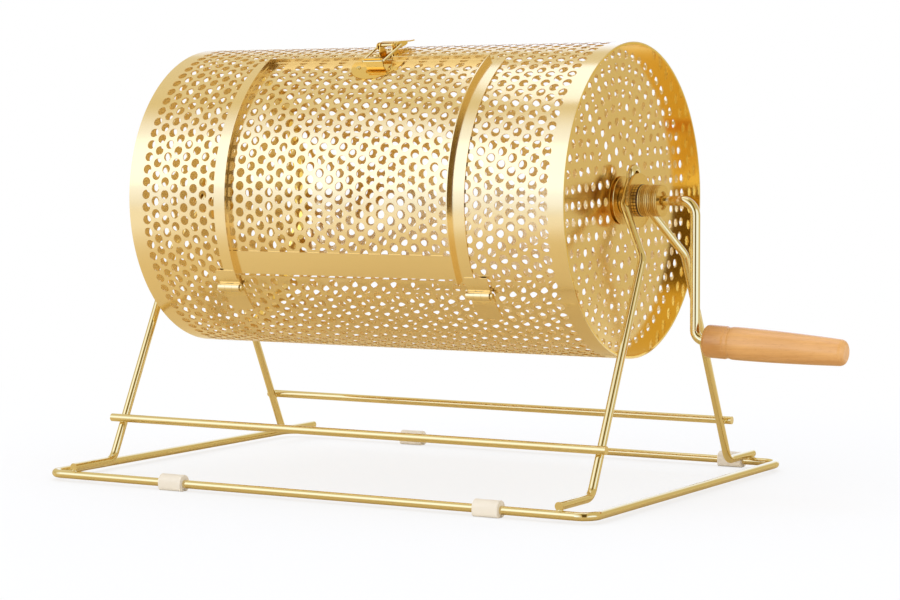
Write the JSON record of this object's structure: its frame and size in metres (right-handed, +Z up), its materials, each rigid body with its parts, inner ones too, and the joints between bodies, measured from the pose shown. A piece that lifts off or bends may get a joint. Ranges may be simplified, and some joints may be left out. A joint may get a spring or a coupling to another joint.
{
  "type": "raffle drum",
  "caption": "Perforated cylindrical drum on a bent rod stand, with a latched door in its curved wall and a crank with a wooden grip that turns it about a level axle.",
  "frame": {"origin": "on the ground under the middle of the whole object's box, crank and grip included", "axes": "+X along the axle towards the crank, +Y to the back, +Z up; the door faces -Y"},
  "size_m": [0.7612, 0.451, 0.4402],
  "materials": {
    "brass_sheet": "bright plated sheet",
    "brass_rod": "polished plated rod",
    "turned_brass": "turned and plated",
    "cream_plastic": "soft satin",
    "black_nylon": "satin",
    "dark_steel": "oiled",
    "beech": "clear satin lacquer"
  },
  "bodies": {
    "stand": {"base_loop": "brass_rod", "left_upright": "brass_rod", "right_upright": "brass_rod", "front_crossbar": "brass_rod", "rear_crossbar": "brass_rod", "front_left_foot": "cream_plastic", "front_right_foot": "cream_plastic", "rear_left_foot": "cream_plastic", "rear_right_foot": "cream_plastic", "left_bearing_bush": "turned_brass", "right_bearing_bush": "turned_brass", "left_bearing_plate": "brass_sheet", "right_bearing_plate": "brass_sheet"},
    "drum": {"drum_shell": "brass_sheet", "left_end_disc": "brass_sheet", "right_end_disc": "brass_sheet", "left_rim_ring": "brass_sheet", "right_rim_ring": "brass_sheet", "left_axle_flange": "brass_sheet", "right_axle_flange": "brass_sheet", "left_axle": "turned_brass", "right_axle": "turned_brass", "left_axle_nut": "turned_brass", "right_axle_nut": "turned_brass", "left_thrust_washer": "black_nylon", "right_thrust_washer": "black_nylon", "left_lock_collar": "turned_brass", "crank_collar": "turned_brass", "collar_screws": "dark_steel", "crank_rod": "brass_rod", "grip_snap_ring": "dark_steel", "left_hinge_lower_leaf": "brass_sheet", "right_hinge_lower_leaf": "brass_sheet", "left_hinge_pin": "turned_brass", "right_hinge_pin": "turned_brass", "latch_base": "brass_sheet", "latch_pivot_pin": "turned_brass", "latch_rivets": "turned_brass"},
    "door": {"door_panel": "brass_sheet", "door_left_strip": "brass_sheet", "door_right_strip": "brass_sheet", "door_top_strip": "brass_sheet", "door_bottom_strip": "brass_sheet", "left_hinge_upper_leaf": "brass_sheet", "right_hinge_upper_leaf": "brass_sheet", "latch_catch": "brass_sheet", "catch_rivets": "turned_brass"},
    "lever": {"latch_lever": "brass_sheet"},
    "bail": {"latch_bail": "brass_rod"},
    "grip": {"wooden_grip": "beech"}
  },
  "joints": [
    {"name": "drum_spin", "type": "hinge", "parent": "stand", "child": "drum", "pos_m": [-0.08008, 0, 0.281], "axis": [1, 0, 0], "continuous": true},
    {"name": "door_swing", "type": "hinge", "parent": "drum", "child": "door", "pos_m": [-0.08008, -0.12977, 0.19281], "axis": [1, 0, 0], "range_deg": [0, 120]},
    {"name": "lever_swing", "type": "hinge", "parent": "drum", "child": "lever", "pos_m": [-0.07808, -0.05947, 0.43271], "axis": [1, 0, 0], "range_deg": [0, 110]},
    {"name": "bail_swing", "type": "hinge", "parent": "lever", "child": "bail", "pos_m": [-0.07808, -0.05232, 0.4335], "axis": [1, 0, 0], "range_deg": [-92, 0]},
    {"name": "grip_spin", "type": "hinge", "parent": "drum", "child": "grip", "pos_m": [0.22792, 0, 0.149], "axis": [0.9991, 0, -0.0419], "continuous": true}
  ],
  "couplings": [
    {"joint": "bail_swing", "follows": "lever_swing", "ratio": -0.816}
  ]
}
